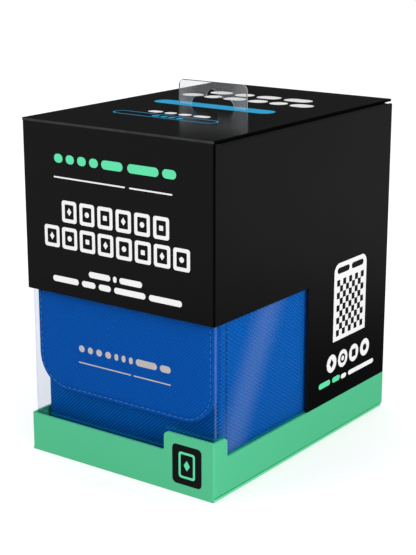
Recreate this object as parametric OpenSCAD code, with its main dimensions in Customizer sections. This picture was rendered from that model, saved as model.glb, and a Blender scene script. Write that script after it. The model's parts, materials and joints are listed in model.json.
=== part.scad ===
// Retail pack of a trading card display case. A printed carton with a clear
// window and a hang tab holds a leatherette box case, which has a lid hinged at
// its back and a magnetic flap that folds down over its front.
// The origin is the centre of the carton's underside, +Z is up and the window
// faces -Y.

/* [Carton] */
// Outer width of the carton, left to right
carton_w = 107; // [90:1:130]
// Outer depth of the carton, front to back
carton_d = 150; // [125:1:200]
// Outer height of the carton
carton_h = 160; // [140:1:200]
// Thickness of the carton's board
board_t = 1.2; // [0.8:0.1:1.6]

/* [Window] */
// Height of the band below the window
band_h = 18.5; // [14:0.5:30]
// Height of the window's upper edge above the carton's underside
window_top = 80.5; // [60:0.5:110]
// How far the window runs round the side, from the carton's front face
window_side = 75.5; // [30:0.5:100]
// Thickness of the clear window film
film_t = 0.3; // [0.2:0.05:0.5]
// Width of the film glued behind the board round the window
film_lap = 8; // [5:0.5:12]
// Outer radius of the film's bend at the carton's front corners
film_bend_r = 2.5; // [1.5:0.1:4]

/* [Raised corner of the band] */
// Height of the raised corner above the band
corner_h = 9.2; // [5:0.1:15]
// Length of the raised corner along the front
corner_front = 27.5; // [15:0.5:40]
// Length of the raised corner along the side
corner_side = 10; // [8:0.5:30]
// Radius of the raised corner's rounded ends
corner_r = 2.5; // [1:0.1:4]
// Radius of the fillet where the raised corner meets the band
corner_fillet = 1.2; // [0.5:0.1:3]

/* [Closures] */
// Depth of the tuck flaps
tuck_depth = 18; // [12:0.5:22]
// Angle at which the tuck flaps lean in from the back panel
tuck_lean = 6; // [5:0.5:7]
// How much narrower the tuck flaps are than the carton's inside, each side
tuck_inset = 2.3; // [1:0.1:6]
// Radius of the tuck flaps' free corners
tuck_r = 7; // [3:0.5:10]
// Gap between the lid's back crease and the back panel
tuck_fit = 0.4; // [0.2:0.1:0.8]
// Length of the dust flaps, across the carton
dust_len = 33; // [20:1:34]
// Distance of the dust flaps from the carton's front face
dust_front = 5; // [3:0.5:15]
// Angle of the dust flaps' slanted front edge
dust_taper = 30; // [30:1:45]
// Gap between the dust flaps and the back panel
dust_rear = 5.5; // [5:0.5:12]
// Clearance between the dust flaps' ends and the side panels' shoulders
dust_fit = 0.2; // [0.1:0.05:0.5]
// Gap between the hang tab's foot and the dust flaps under it
closure_gap = 0.1; // [0.1:0.1:1]
// Gap between the bottom panel and the dust flaps on it
bottom_gap = 0.3; // [0.1:0.1:1]
// Gap between a lid's side edge and the side panel's outer face
lid_side_gap = 0.3; // [0.1:0.1:1]
// How much lower the side panels' rear shoulders are than the dust flaps
back_relief = 0.7; // [0.2:0.1:1.2]
// Width of the glue flap inside the left panel
glue_w = 15; // [8:0.5:20]
// Distance of the glue flap from the carton's top and bottom
glue_end = 22; // [20:1:30]

/* [Hang tab] */
// Width of the hang tab
tab_w = 39.5; // [32:0.5:42]
// Distance of the hang tab from the lid's middle, to the right
tab_shift = -1.6; // [-4:0.1:4]
// Height of the hang tab above the lid
tab_h = 11.9; // [11:0.1:25]
// Thickness of the hang tab's sheet
tab_t = 0.5; // [0.3:0.05:0.7]
// Radius of the hang tab's upper corners
tab_r = 3; // [1:0.1:5]
// Length of the peg slot
slot_w = 24.9; // [20:0.1:26]
// Radius of the peg slot's round ends
slot_r = 4.4; // [3:0.1:4.8]
// Radius of the peg slot's middle notch
notch_r = 3.6; // [2:0.1:4]
// Height of the fold line above the lid
tab_fold = 0.3; // [0.3:0.05:0.5]
// Depth of the tab's foot under the lid
foot_d = 15; // [8:0.5:25]
// Thickness of the tab's foot
foot_t = 0.2; // [0.15:0.05:0.35]
// Thickness of the adhesive on the foot
glue_t = 0.1; // [0.05:0.05:0.2]
// Clearance round the tab in the lid's slit
slit_gap = 0.25; // [0.15:0.05:0.5]

/* [Case in the carton] */
// Clearance between the case and the glue flap's face, each side
case_side_gap = 0.4; // [0.2:0.1:2]
// Clearance between the film and the case's flap
case_front_gap = 2.1; // [2.1:0.1:4]
// Clearance between the case and the back panel
case_rear_gap = 5.3; // [5.3:0.1:9]
// Clearance between the case and the lid's dust flaps
case_top_gap = 3.4; // [3:0.1:8]
// Clearance between the case and the bottom dust flaps
case_rest_gap = 0.2; // [0.1:0.05:0.3]

/* [Case] */
// Thickness of the case's leatherette
skin_t = 1; // [0.8:0.1:1.4]
// Thickness of the greyboard in the case's walls
core_t = 2.5; // [2.4:0.1:3.5]
// Thickness of the case's lining
lining_t = 0.8; // [0.5:0.1:1.2]
// Radius of the case's upright corners
case_r = 2.5; // [1.6:0.1:4]
// Thickness of the case's lid
case_lid_t = 4.8; // [4.4:0.1:6]
// Gap between the case's lid and its walls
case_lid_gap = 0.2; // [0.1:0.05:0.4]
// Thickness of the back hinge strip
strip_t = 0.8; // [0.5:0.1:1.2]
// Height of the back hinge strip below the lid
strip_h = 9; // [5:0.5:20]
// Gap between the hinge strip and the case's back
strip_gap = 0.15; // [0.15:0.05:0.4]

/* [Case flap] */
// Thickness of the flap
flap_t = 4.8; // [4.4:0.1:6]
// Gap between the flap and the case's front
flap_gap = 0.4; // [0.2:0.1:1]
// Height of the flap's lower edge above the carton's underside
flap_low = 32.3; // [25:0.1:60]
// Radius of the flap's lower corners
flap_r = 16.5; // [8:0.5:25]
// Radius of the closure's magnets
magnet_r = 6; // [4:0.5:8]
// Thickness of the closure's magnets
magnet_t = 1.8; // [1:0.1:2]
// Distance of each magnet from the case's middle
magnet_x = 26; // [15:0.5:32]
// Height of the magnets above the flap's lower edge
magnet_up = 15; // [12:0.5:25]

/* [Stitching] */
// Width of the stitched seams
seam_w = 0.6; // [0.4:0.05:0.9]
// Height of the thread above the leatherette
seam_h = 0.25; // [0.1:0.05:0.3]
// Distance of the flap's seam from its edge
flap_seam = 2.3; // [1.8:0.1:4]
// Distance of the body's front seams from its sides
front_seam = 3.4; // [3:0.1:6]
// Distance of the side seams from the body's front
side_seam = 4.5; // [3:0.1:8]

/* [Hidden] */
$fn = 64;
black = "#1e1e1e";
green = "#58c494";
blue = "#0a50a5";
clear_tint = [0.85, 0.87, 0.95, 0.35];
greyboard = "#8c857a";
lining_grey = "#3a3d42";
steel = "#b8bcc2";
thread = "#5fa0e0";
// Length by which a cut runs past the face it opens
over = 1;

// Carton: half sizes, outside and inside the board
out_x = carton_w / 2;
out_y = carton_d / 2;
in_x = out_x - board_t;
in_y = out_y - board_t;
// Carton: levels of the closures
lid_z = carton_h - board_t;
foot_top = lid_z - glue_t;
foot_low = foot_top - foot_t;
dust_top = foot_low - closure_gap;
side_top = dust_top - board_t;
bottom_dust = board_t + bottom_gap;
side_low = bottom_dust + board_t;
lid_back = in_y - tuck_fit;
corner_top = band_h + corner_h;
// Flap of the tuck starts this far below its crease, clear of the lid
tuck_start = board_t + 0.2;
window_back = -out_y + window_side;
// Tab: level of its fold line
fold_z = carton_h + tab_fold;
// Case: outside faces
case_x = out_x - 2 * board_t - case_side_gap;
flap_front = -in_y + film_t + case_front_gap;
flap_back = flap_front + flap_t;
case_front = flap_back + flap_gap;
case_back = in_y - case_rear_gap;
case_low = side_low + case_rest_gap;
case_top = side_top - case_top_gap;
case_lid_low = case_top - case_lid_t;
wall_top = case_lid_low - case_lid_gap;
// Case: faces of the board and of the lining inside the leatherette
core_x = case_x - skin_t;
core_front = case_front + skin_t;
core_back = case_back - skin_t;
core_low = case_low + skin_t;
felt_x = core_x - core_t;
felt_front = core_front + core_t;
felt_back = core_back - core_t;
felt_low = core_low + core_t;
rim_low = wall_top - skin_t;
magnet_z = flap_low + magnet_up;

// Block between two opposite corners
module block(low, high) {
    translate(low) cube(high - low);
}

// Flat shape in X and Z, given thickness from y0 to y1
module upright(y0, y1) {
    translate([0, y1, 0]) rotate([90, 0, 0]) linear_extrude(y1 - y0) children();
}

// Flat shape in Y and Z, given thickness from x0 to x1
module sideways(x0, x1) {
    translate([x0, 0, 0]) rotate([90, 0, 90]) linear_extrude(x1 - x0) children();
}

// Rectangle between two corners, with the same radius at all four
module round_rect(low, high, r) {
    translate([low.x + r, low.y]) square([high.x - low.x - 2 * r, high.y - low.y]);
    translate([low.x, low.y + r]) square([high.x - low.x, high.y - low.y - 2 * r]);
    for (x = [low.x + r, high.x - r])
        for (y = [low.y + r, high.y - r])
            translate([x, y]) circle(r);
}

// Rectangle between two corners, rounded at its two lower corners only
module round_foot(low, high, r) {
    translate([low.x + r, low.y]) square([high.x - low.x - 2 * r, high.y - low.y]);
    translate([low.x, low.y + r]) square([high.x - low.x, high.y - low.y - r]);
    for (x = [low.x + r, high.x - r])
        translate([x, low.y + r]) circle(r);
}

// Plan of a front or back panel: its inner face on y = 0, its outer corners rounded
module end_panel_plan() {
    translate([-in_x, -board_t]) square([2 * in_x, board_t]);
    intersection() {
        translate([-out_x, -board_t]) square([carton_w, board_t]);
        for (side = [-1, 1])
            translate([side * in_x, 0]) circle(board_t);
    }
}

// Raised corner of the band, growing in +X from its free end at x = 0
module raised_corner(length) {
    translate([0, band_h - over]) square([length, corner_h + over - corner_r]);
    translate([corner_r, band_h - over]) square([length - corner_r, corner_h + over]);
    translate([corner_r, corner_top - corner_r]) circle(corner_r);
    difference() {
        translate([-corner_fillet, band_h - over]) square([corner_fillet, corner_fillet + over]);
        translate([-corner_fillet, band_h + corner_fillet]) circle(corner_fillet);
    }
}

// Side panel in Y and Z: shoulders in front of and behind the dust flaps, window
// open at the front edge
module side_panel_shape() {
    difference() {
        union() {
            translate([-in_y, side_low]) square([2 * in_y, side_top - side_low]);
            translate([-in_y, bottom_dust])
                square([dust_front - board_t - dust_fit, dust_top - bottom_dust]);
            translate([in_y - dust_rear + dust_fit, bottom_dust])
                square([dust_rear - dust_fit, dust_top - back_relief - bottom_dust]);
        }
        translate([-in_y - over, band_h])
            square([window_back + in_y + over, window_top - band_h]);
    }
}

// The part of a side panel above or below the level where its print changes
module print_zone(low, high) {
    intersection() {
        children();
        block([-out_x - over, -out_y - over, low], [out_x + over, out_y + over, high]);
    }
}

module right_panel_sheet() {
    sideways(in_x, out_x) {
        side_panel_shape();
        intersection() {
            translate([-out_y + corner_side, 0]) mirror([1, 0]) raised_corner(corner_side);
            translate([-in_y, side_low]) square([in_y, corner_top]);
        }
    }
}

module left_panel_sheet() {
    sideways(-out_x, -in_x) side_panel_shape();
}

// Dust flap of the right side, lying on z = 0 with its crease on the outer face
module dust_flap() {
    front = -out_y + dust_front;
    linear_extrude(board_t)
        polygon([
            [out_x, front],
            [out_x, in_y - dust_rear],
            [out_x - dust_len, in_y - dust_rear],
            [out_x - dust_len, front + dust_len * tan(dust_taper)]
        ]);
}

// Tuck flap hanging from a crease at the origin and leaning in to -Y
module tuck_flap() {
    half = in_x - tuck_inset;
    rotate([-tuck_lean, 0, 0])
        upright(-board_t, 0)
            round_foot([-half, -tuck_depth], [half, -tuck_start], tuck_r);
}

// Outline of the case's walls in plan, inset from its outer faces
module case_plan() {
    round_rect([-case_x, case_front], [case_x, case_back], case_r);
}

// Outline of the case's flap, inset from its edge; its top is the fold
module flap_outline(inset) {
    round_foot([-case_x + inset, flap_low + inset], [case_x - inset, case_lid_low - case_lid_gap],
        flap_r - inset);
}

// One row of closure magnets between two planes
module magnet_pair(y0, y1, r) {
    for (side = [-1, 1])
        translate([side * magnet_x, y1, magnet_z])
            rotate([90, 0, 0]) cylinder(r = r, h = y1 - y0);
}

// Peg slot of the hang tab in X and Z: a long slot with a round notch on top
module peg_slot() {
    reach = slot_w / 2 - slot_r;
    translate([-reach, fold_z - over]) square([2 * reach, slot_r + over]);
    for (side = [-1, 1])
        translate([side * reach, fold_z]) circle(slot_r);
    translate([0, fold_z + slot_r]) circle(notch_r);
}

module carton_front_top() {
    color(black)
        translate([0, -in_y, window_top])
            linear_extrude(lid_z - window_top) end_panel_plan();
}

module carton_front_band() {
    color(green)
        intersection() {
            translate([0, -in_y, board_t]) linear_extrude(corner_top - board_t) end_panel_plan();
            upright(-out_y - over, -in_y + over) {
                translate([-out_x, 0]) square([carton_w, band_h]);
                translate([out_x - corner_front, 0]) raised_corner(corner_front);
            }
        }
}

module carton_right_panel() {
    color(black) print_zone(band_h, carton_h) difference() {
        right_panel_sheet();
        block([in_x - over, -out_y - over, 0], [out_x + over, window_back, window_top]);
    }
    color(green) difference() {
        right_panel_sheet();
        block([in_x - over, window_back, band_h], [out_x + over, out_y, carton_h]);
        block([in_x - over, -out_y - over, window_top], [out_x + over, out_y, carton_h]);
    }
}

module carton_left_panel() {
    color(black) print_zone(band_h, carton_h) left_panel_sheet();
    color(green) print_zone(0, band_h) left_panel_sheet();
}

module carton_back_panel() {
    color(black)
        translate([0, in_y, bottom_dust])
            mirror([0, 1, 0]) linear_extrude(side_top - bottom_dust) end_panel_plan();
}

module carton_glue_flap() {
    color(black)
        sideways(-in_x, -in_x + board_t)
            polygon([
                [in_y, glue_end],
                [in_y, carton_h - glue_end],
                [in_y - glue_w, carton_h - glue_end - glue_w / 3],
                [in_y - glue_w, glue_end + glue_w / 3]
            ]);
}

module carton_bottom_panel() {
    color(green)
        block([-out_x + lid_side_gap, -out_y, 0], [out_x - lid_side_gap, lid_back, board_t]);
}

module bottom_tuck_flap() {
    color(green) translate([0, lid_back, 0]) mirror([0, 0, 1]) tuck_flap();
}

module bottom_dust_flap_right() {
    color(green) translate([0, 0, bottom_dust]) dust_flap();
}

module bottom_dust_flap_left() {
    color(green) translate([0, 0, bottom_dust]) mirror([1, 0, 0]) dust_flap();
}

module window_film() {
    film_back = window_back + film_lap;
    color(clear_tint)
        translate([0, 0, band_h - film_lap])
            linear_extrude(window_top - band_h + 2 * film_lap)
                difference() {
                    round_rect([-in_x, -in_y], [in_x, in_y], film_bend_r);
                    round_rect([-in_x + film_t, -in_y + film_t], [in_x - film_t, in_y],
                        film_bend_r - film_t);
                    translate([-out_x, film_back]) square([carton_w, carton_d]);
                }
}

module carton_lid() {
    color(black)
        difference() {
            block([-out_x + lid_side_gap, -out_y, lid_z], [out_x - lid_side_gap, lid_back, carton_h]);
            translate([tab_shift, 0, 0])
                block([-tab_w / 2 - slit_gap, -tab_t / 2 - slit_gap, lid_z - over],
                    [tab_w / 2 + slit_gap, tab_t / 2 + slit_gap, carton_h + over]);
        }
}

module lid_tuck_flap() {
    color(black) translate([0, lid_back, carton_h]) tuck_flap();
}

module lid_dust_flap_right() {
    color(black) translate([0, 0, side_top]) dust_flap();
}

module lid_dust_flap_left() {
    color(black) translate([0, 0, side_top]) mirror([1, 0, 0]) dust_flap();
}

module hang_tab() {
    color(clear_tint)
        translate([tab_shift, 0, 0]) upright(-tab_t / 2, tab_t / 2)
            difference() {
                translate([0, 2 * fold_z + tab_h - tab_fold]) mirror([0, 1])
                    round_foot([-tab_w / 2, fold_z], [tab_w / 2, fold_z + tab_h - tab_fold], tab_r);
                peg_slot();
            }
}

module hang_tab_foot() {
    color(clear_tint) translate([tab_shift, 0, 0]) {
        block([-tab_w / 2, -tab_t / 2, foot_low], [tab_w / 2, foot_d, foot_top]);
        upright(-tab_t / 2, tab_t / 2)
            difference() {
                translate([-tab_w / 2, foot_low]) square([tab_w, carton_h - foot_low]);
                translate([-slot_w / 2, foot_top]) square([slot_w, carton_h]);
            }
    }
}

module hang_tab_adhesive() {
    color([0.9, 0.9, 0.85, 0.6])
        translate([tab_shift, 0, 0])
            block([-tab_w / 2, tab_t / 2 + slit_gap, foot_top], [tab_w / 2, foot_d, lid_z]);
}

module case_cover() {
    color(blue)
        difference() {
            translate([0, 0, case_low]) linear_extrude(wall_top - case_low) case_plan();
            block([-core_x, core_front, core_low], [core_x, core_back, rim_low]);
            block([-felt_x, felt_front, core_low], [felt_x, felt_back, wall_top + over]);
        }
}

module case_front_board() {
    color(greyboard)
        difference() {
            block([-core_x, core_front, felt_low], [core_x, felt_front, rim_low]);
            magnet_pair(core_front - over, core_front + magnet_t, magnet_r);
        }
}

module case_back_board() {
    color(greyboard) block([-core_x, felt_back, felt_low], [core_x, core_back, rim_low]);
}

module case_right_board() {
    color(greyboard) block([felt_x, felt_front, felt_low], [core_x, felt_back, rim_low]);
}

module case_left_board() {
    color(greyboard) block([-core_x, felt_front, felt_low], [-felt_x, felt_back, rim_low]);
}

module case_floor_board() {
    color(greyboard) block([-core_x, core_front, core_low], [core_x, core_back, felt_low]);
}

module case_lining() {
    color(lining_grey)
        difference() {
            block([-felt_x, felt_front, felt_low], [felt_x, felt_back, wall_top]);
            block([-felt_x + lining_t, felt_front + lining_t, felt_low + lining_t],
                [felt_x - lining_t, felt_back - lining_t, wall_top + over]);
        }
}

module case_magnets() {
    color(steel) magnet_pair(core_front, core_front + magnet_t, magnet_r);
}

module case_stitching() {
    seam_back = case_front + side_seam;
    color(thread)
        for (side = [-1, 1]) {
            translate([side * (case_x - front_seam) - seam_w / 2, case_front - seam_h, case_low + seam_w])
                cube([seam_w, seam_h, wall_top - case_low - 2 * seam_w]);
            translate([side * (case_x + seam_h / 2) - seam_h / 2, seam_back, case_low + seam_w])
                cube([seam_h, seam_w, wall_top - case_low - 2 * seam_w]);
        }
}

module case_lid_cover() {
    color(blue)
        difference() {
            translate([0, 0, case_lid_low]) linear_extrude(case_lid_t) case_plan();
            block([-core_x, core_front, case_lid_low + skin_t],
                [core_x, core_back, case_top - skin_t]);
            block([-felt_x, felt_front, case_lid_low - over],
                [felt_x, felt_back, case_lid_low + skin_t + over]);
        }
}

module case_lid_board() {
    color(greyboard)
        block([-core_x, core_front, case_lid_low + skin_t], [core_x, core_back, case_top - skin_t]);
}

module case_lid_lining() {
    color(lining_grey)
        block([-felt_x, felt_front, case_lid_low], [felt_x, felt_back, case_lid_low + skin_t]);
}

module case_hinge_strip() {
    color(blue)
        block([-case_x + case_r, case_back, case_lid_low + case_lid_gap],
            [case_x - case_r, case_back + strip_gap + strip_t, case_top - case_r]);
    color(blue)
        block([-case_x + case_r, case_back + strip_gap, case_lid_low - strip_h],
            [case_x - case_r, case_back + strip_gap + strip_t, case_top - case_r]);
}

// Quarter bend of leatherette from the case lid's top down to the flap's front
module flap_fold_strip() {
    bend = case_front - flap_front;
    color(blue)
        intersection() {
            translate([-case_x, case_front, case_lid_low])
                rotate([90, 0, 90])
                    linear_extrude(2 * case_x)
                        difference() {
                            circle(bend);
                            circle(bend - skin_t);
                        }
            block([-case_x, flap_front, case_lid_low], [case_x, case_front, case_top + bend]);
        }
}

module flap_cover() {
    color(blue)
        difference() {
            upright(flap_front, flap_back) flap_outline(0);
            upright(flap_front + skin_t, flap_back + over) flap_outline(skin_t);
        }
}

module flap_board() {
    color(greyboard)
        difference() {
            upright(flap_front + skin_t, flap_back - skin_t) flap_outline(skin_t);
            magnet_pair(flap_back - skin_t - magnet_t, flap_back - skin_t + over, magnet_r);
        }
}

module flap_lining() {
    color(lining_grey) upright(flap_back - skin_t, flap_back) flap_outline(skin_t);
}

module flap_magnets() {
    color(steel) magnet_pair(flap_back - skin_t - magnet_t, flap_back - skin_t, magnet_r);
}

module flap_stitching() {
    color(thread)
        upright(flap_front - seam_h, flap_front)
            difference() {
                flap_outline(flap_seam);
                flap_outline(flap_seam + seam_w);
                translate([-case_x, wall_top - flap_seam]) square([2 * case_x, flap_seam + over]);
            }
}

carton_front_top();
carton_front_band();
carton_right_panel();
carton_left_panel();
carton_back_panel();
carton_glue_flap();
carton_bottom_panel();
bottom_tuck_flap();
bottom_dust_flap_right();
bottom_dust_flap_left();
window_film();
carton_lid();
lid_tuck_flap();
lid_dust_flap_right();
lid_dust_flap_left();
hang_tab();
hang_tab_foot();
hang_tab_adhesive();
case_cover();
case_front_board();
case_back_board();
case_right_board();
case_left_board();
case_floor_board();
case_lining();
case_magnets();
case_stitching();
case_lid_cover();
case_lid_board();
case_lid_lining();
case_hinge_strip();
flap_fold_strip();
flap_cover();
flap_board();
flap_lining();
flap_magnets();
flap_stitching();
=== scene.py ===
# %% [markdown]
# # A graded card case in its retail carton
# The object is a printed paperboard carton with a clear window. A blue
# leatherette box case stands inside it. The CAD frame already holds every
# piece at its real size, so this lesson adds finishes, sewn detail and print.
# The object's lengths are in millimetres, and MM turns them into the scene's
# metres. The studio around it is laid out in metres.

# %% Load the frame
import json
import math

import bmesh
import bpy
from mathutils import Vector
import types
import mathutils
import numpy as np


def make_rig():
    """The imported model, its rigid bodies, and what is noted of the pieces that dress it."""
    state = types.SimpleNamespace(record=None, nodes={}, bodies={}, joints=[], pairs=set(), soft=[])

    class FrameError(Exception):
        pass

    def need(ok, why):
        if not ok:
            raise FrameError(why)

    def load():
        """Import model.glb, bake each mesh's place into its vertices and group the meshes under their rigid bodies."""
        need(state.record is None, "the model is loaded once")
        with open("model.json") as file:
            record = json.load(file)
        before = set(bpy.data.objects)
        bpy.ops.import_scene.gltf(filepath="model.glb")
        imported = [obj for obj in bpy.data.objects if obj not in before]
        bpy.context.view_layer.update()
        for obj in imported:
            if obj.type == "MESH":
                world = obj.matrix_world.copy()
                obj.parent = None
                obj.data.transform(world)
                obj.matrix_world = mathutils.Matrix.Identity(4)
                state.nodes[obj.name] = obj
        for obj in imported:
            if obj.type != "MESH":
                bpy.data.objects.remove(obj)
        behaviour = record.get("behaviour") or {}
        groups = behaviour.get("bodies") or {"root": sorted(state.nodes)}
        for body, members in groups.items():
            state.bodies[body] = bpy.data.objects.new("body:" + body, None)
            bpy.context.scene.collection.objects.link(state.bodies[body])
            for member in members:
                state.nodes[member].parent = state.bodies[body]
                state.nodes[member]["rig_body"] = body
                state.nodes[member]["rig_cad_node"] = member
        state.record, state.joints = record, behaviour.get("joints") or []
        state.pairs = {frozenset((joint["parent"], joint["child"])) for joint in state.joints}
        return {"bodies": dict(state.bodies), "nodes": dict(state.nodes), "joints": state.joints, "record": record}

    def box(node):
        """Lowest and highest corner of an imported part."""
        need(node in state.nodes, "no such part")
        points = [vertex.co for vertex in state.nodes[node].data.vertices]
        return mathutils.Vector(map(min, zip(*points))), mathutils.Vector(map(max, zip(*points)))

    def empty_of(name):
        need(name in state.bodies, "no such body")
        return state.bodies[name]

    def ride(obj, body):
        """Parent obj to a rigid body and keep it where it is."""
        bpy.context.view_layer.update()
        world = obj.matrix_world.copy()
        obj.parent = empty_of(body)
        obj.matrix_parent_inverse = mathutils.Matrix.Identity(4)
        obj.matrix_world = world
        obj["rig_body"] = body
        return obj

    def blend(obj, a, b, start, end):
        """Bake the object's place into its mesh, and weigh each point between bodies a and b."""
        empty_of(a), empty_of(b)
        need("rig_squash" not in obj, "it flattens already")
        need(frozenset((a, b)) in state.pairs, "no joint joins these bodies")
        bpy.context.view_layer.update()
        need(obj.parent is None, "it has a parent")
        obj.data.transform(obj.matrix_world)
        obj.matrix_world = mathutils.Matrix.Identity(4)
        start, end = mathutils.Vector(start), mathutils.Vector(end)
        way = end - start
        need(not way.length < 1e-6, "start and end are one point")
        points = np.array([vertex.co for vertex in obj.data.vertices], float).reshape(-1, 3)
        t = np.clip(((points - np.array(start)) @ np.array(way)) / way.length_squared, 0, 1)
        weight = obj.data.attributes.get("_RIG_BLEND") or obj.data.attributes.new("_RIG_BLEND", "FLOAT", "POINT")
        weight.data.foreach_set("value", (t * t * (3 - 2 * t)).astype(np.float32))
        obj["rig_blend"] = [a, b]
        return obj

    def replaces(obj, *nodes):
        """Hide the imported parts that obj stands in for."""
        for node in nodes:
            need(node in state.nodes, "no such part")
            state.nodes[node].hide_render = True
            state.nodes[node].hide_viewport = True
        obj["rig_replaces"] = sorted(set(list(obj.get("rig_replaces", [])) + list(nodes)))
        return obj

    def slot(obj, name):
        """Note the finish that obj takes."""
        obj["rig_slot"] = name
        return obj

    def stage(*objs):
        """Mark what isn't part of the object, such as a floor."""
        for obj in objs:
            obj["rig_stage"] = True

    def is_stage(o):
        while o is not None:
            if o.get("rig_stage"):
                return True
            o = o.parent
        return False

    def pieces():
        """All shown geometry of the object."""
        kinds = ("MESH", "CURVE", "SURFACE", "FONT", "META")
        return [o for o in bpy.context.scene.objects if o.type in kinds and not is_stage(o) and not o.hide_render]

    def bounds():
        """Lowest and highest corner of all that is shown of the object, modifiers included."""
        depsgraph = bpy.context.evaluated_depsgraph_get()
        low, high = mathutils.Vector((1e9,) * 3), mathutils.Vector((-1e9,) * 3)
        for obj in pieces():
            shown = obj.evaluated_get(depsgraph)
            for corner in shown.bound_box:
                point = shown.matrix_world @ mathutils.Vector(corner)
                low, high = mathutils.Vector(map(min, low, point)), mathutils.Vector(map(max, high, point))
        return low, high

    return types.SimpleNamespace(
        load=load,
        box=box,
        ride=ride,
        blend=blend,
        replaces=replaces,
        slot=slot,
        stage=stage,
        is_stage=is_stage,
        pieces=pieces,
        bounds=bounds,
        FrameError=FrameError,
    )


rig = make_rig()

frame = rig.load()
cad_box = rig.bounds()
nodes = frame["nodes"]
MM = 0.001


def new_object(name, data):
    made = bpy.data.objects.new(name, data)
    bpy.context.scene.collection.objects.link(made)
    return made


print(len(nodes), "CAD nodes on", len(frame["bodies"]), "bodies")

# %% [markdown]
# ## Camera
# The place, turn and dip come from the carton's corners, which fix a camera
# almost completely. It stands at the right of the front and looks down a little.

# %% Camera
CAMERA_PLACE = Vector((377.9, -525.5, 257.4)) * MM
CAMERA_TURN = math.radians(36.03)
CAMERA_DIP = math.radians(15.58)
CAMERA_LENS = 89.63

camera_data = bpy.data.cameras.new("camera")
camera_data.lens = CAMERA_LENS
camera = new_object("camera", camera_data)
camera.location = CAMERA_PLACE
camera.rotation_euler = (math.pi / 2 - CAMERA_DIP, 0, CAMERA_TURN)
bpy.context.scene.camera = camera
print("camera at", [round(v, 3) for v in camera.location])

# %% [markdown]
# ## Node helpers
# Node trees read more easily when each node is made in one line. `fill` gives a
# node's sockets numbers or other nodes' outputs, `add` makes a node and fills
# it, and `calc` is a Math node that returns its output.

# %% Node helpers
SOCKET_KINDS = {"vector": "NodeSocketVector", "value": "NodeSocketFloat"}


def fill(tree, node, sockets):
    for key, value in sockets.items():
        if isinstance(value, bpy.types.NodeSocket):
            tree.links.new(value, node.inputs[key])
        else:
            node.inputs[key].default_value = value


def add(tree, kind, sockets=None, **settings):
    made = tree.nodes.new("ShaderNode" + kind)
    for key, value in settings.items():
        setattr(made, key, value)
    fill(tree, made, sockets or {})
    return made


def calc(tree, operation, *values, clamp=False):
    sockets = dict(enumerate(values))
    return add(tree, "Math", sockets, operation=operation, use_clamp=clamp).outputs[0]


def new_group(name, inputs, outputs):
    """A node group's tree, what it is given, and what it gives back."""
    tree = bpy.data.node_groups.new(name, "ShaderNodeTree")
    for way, labels in (("INPUT", inputs), ("OUTPUT", outputs)):
        for label, kind in labels.items():
            tree.interface.new_socket(label, in_out=way, socket_type=SOCKET_KINDS[kind])
    given = tree.nodes.new("NodeGroupInput").outputs
    return tree, given, tree.nodes.new("NodeGroupOutput").inputs


def use_group(tree, group, sockets):
    return add(tree, "Group", sockets, node_tree=group).outputs


def new_material(name):
    material = bpy.data.materials.new(name)
    material.use_nodes = True
    tree = material.node_tree
    return material, tree, tree.nodes["Principled BSDF"]


print("node helpers ready")

# %% [markdown]
# ## Colours and masks
# A mask is a number that is 1 inside a region and 0 outside it. These helpers
# make masks, join them, and lay colours over each other where a mask says so.


# %% Colours and masks
def linear(*levels):
    """A screen colour with levels from 0 to 255, through the sRGB curve to a linear colour."""
    shares = [v / 255 for v in levels]
    shares = [s / 12.92 if s <= 0.04045 else ((s + 0.055) / 1.055) ** 2.4 for s in shares]
    return (*shares, 1.0)


def shade(colour, factor):
    return [min(c * factor, 1) for c in colour[:3]] + [1]


def over(tree, base, mask, colour):
    """Colour laid over a base where the mask is 1."""
    sockets = {"Factor": mask, "A": base, "B": colour}
    return add(tree, "Mix", sockets, data_type="RGBA").outputs["Result"]


def parts(tree, vector):
    return add(tree, "SeparateXYZ", {0: vector}).outputs


def unsigned_parts(tree, vector):
    size = add(tree, "VectorMath", {0: vector}, operation="ABSOLUTE")
    return parts(tree, size.outputs[0])


def plus(tree, one, two):
    return calc(tree, "ADD", one, two)


def minus(tree, one, two):
    return calc(tree, "SUBTRACT", one, two)


def times(tree, first, *others):
    """A product. The product of masks is 1 where all of them are."""
    for other in others:
        first = calc(tree, "MULTIPLY", first, other)
    return first


def more(tree, value, limit):
    return calc(tree, "GREATER_THAN", value, limit)


def less(tree, value, limit):
    return calc(tree, "LESS_THAN", value, limit)


def between(tree, value, low, high):
    """1 where a value lies between two limits."""
    return times(tree, more(tree, value, low), less(tree, value, high))


def smooth_rise(tree, value, start, end, top=1.0):
    """Goes smoothly from 0 at the start to the top at the end."""
    sockets = {"Value": value, "From Min": start, "From Max": end, "To Max": top}
    made = add(tree, "MapRange", sockets, interpolation_type="SMOOTHSTEP")
    return made.outputs["Result"]


def noise(tree, point, scale, detail):
    sockets = {"Vector": point, "Scale": scale, "Detail": detail}
    return add(tree, "TexNoise", sockets).outputs["Fac"]


def emboss(tree, shader, height, strength, depth):
    """Presses a height into the shader's surface."""
    sockets = {"Height": height, "Strength": strength, "Distance": depth}
    fill(tree, shader, {"Normal": add(tree, "Bump", sockets).outputs["Normal"]})


print("colours and masks ready")

# %% [markdown]
# ## Studio
# A pale floor and soft boxes light the carton evenly. The camera sees a white
# room, and so do rays that pass through clear film. Gloss sees a much darker
# one, the way dark flags are set up in a studio so that black print stays
# black. The paper near the carton's foot mirrors dark as well, which gives the
# glossy side panel its slow change from black below to charcoal above.

# %% Studio: room
ROOM_LIGHT = 0.92
ROOM_GLOSS = 0.028
WHITE = (1.0, 1.0, 1.0, 1.0)


def ray_kinds(tree):
    """Masks for rays that show the background itself, and for rays that mirror it."""
    path = add(tree, "LightPath").outputs
    shown = calc(tree, "MAXIMUM", path["Is Camera Ray"], path["Is Transmission Ray"])
    return shown, path["Is Glossy Ray"]


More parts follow.
